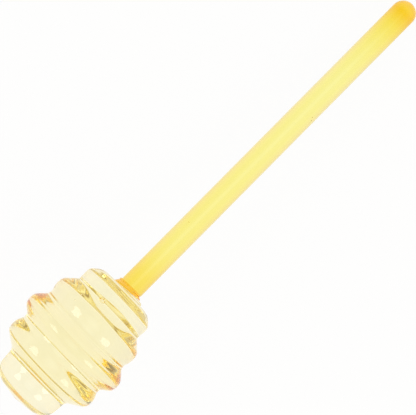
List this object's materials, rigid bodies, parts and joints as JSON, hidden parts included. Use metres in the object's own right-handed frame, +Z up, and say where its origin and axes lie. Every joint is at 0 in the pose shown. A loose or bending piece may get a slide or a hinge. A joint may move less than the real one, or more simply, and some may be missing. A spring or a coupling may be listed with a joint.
{
  "type": "honey dipper",
  "caption": "Glass honey dipper with a straight tinted rod for a handle and a solid ribbed head, lying on its widest rib and its handle's end.",
  "frame": {"origin": "on the table, under the middle of the whole length and under the middle of the widest rib", "axes": "+Z up, +X along the length from the tip knob to the handle's free end, +Y across; the axis of the dipper rises 6 degrees towards the head"},
  "size_m": [0.1494, 0.0332, 0.0331],
  "materials": {
    "yellow_glass": "fire-polished, clear yellow",
    "amber_glass": "fire-polished, clear amber",
    "honey_glass": "fire-polished, clear pale honey"
  },
  "bodies": {
    "root": {"handle_rod": "yellow_glass", "weld_collar": "amber_glass", "neck_button": "honey_glass", "shoulder_rib": "honey_glass", "upper_rib": "honey_glass", "widest_rib": "honey_glass", "lower_rib": "honey_glass", "tip_knob": "honey_glass"}
  },
  "joints": []
}
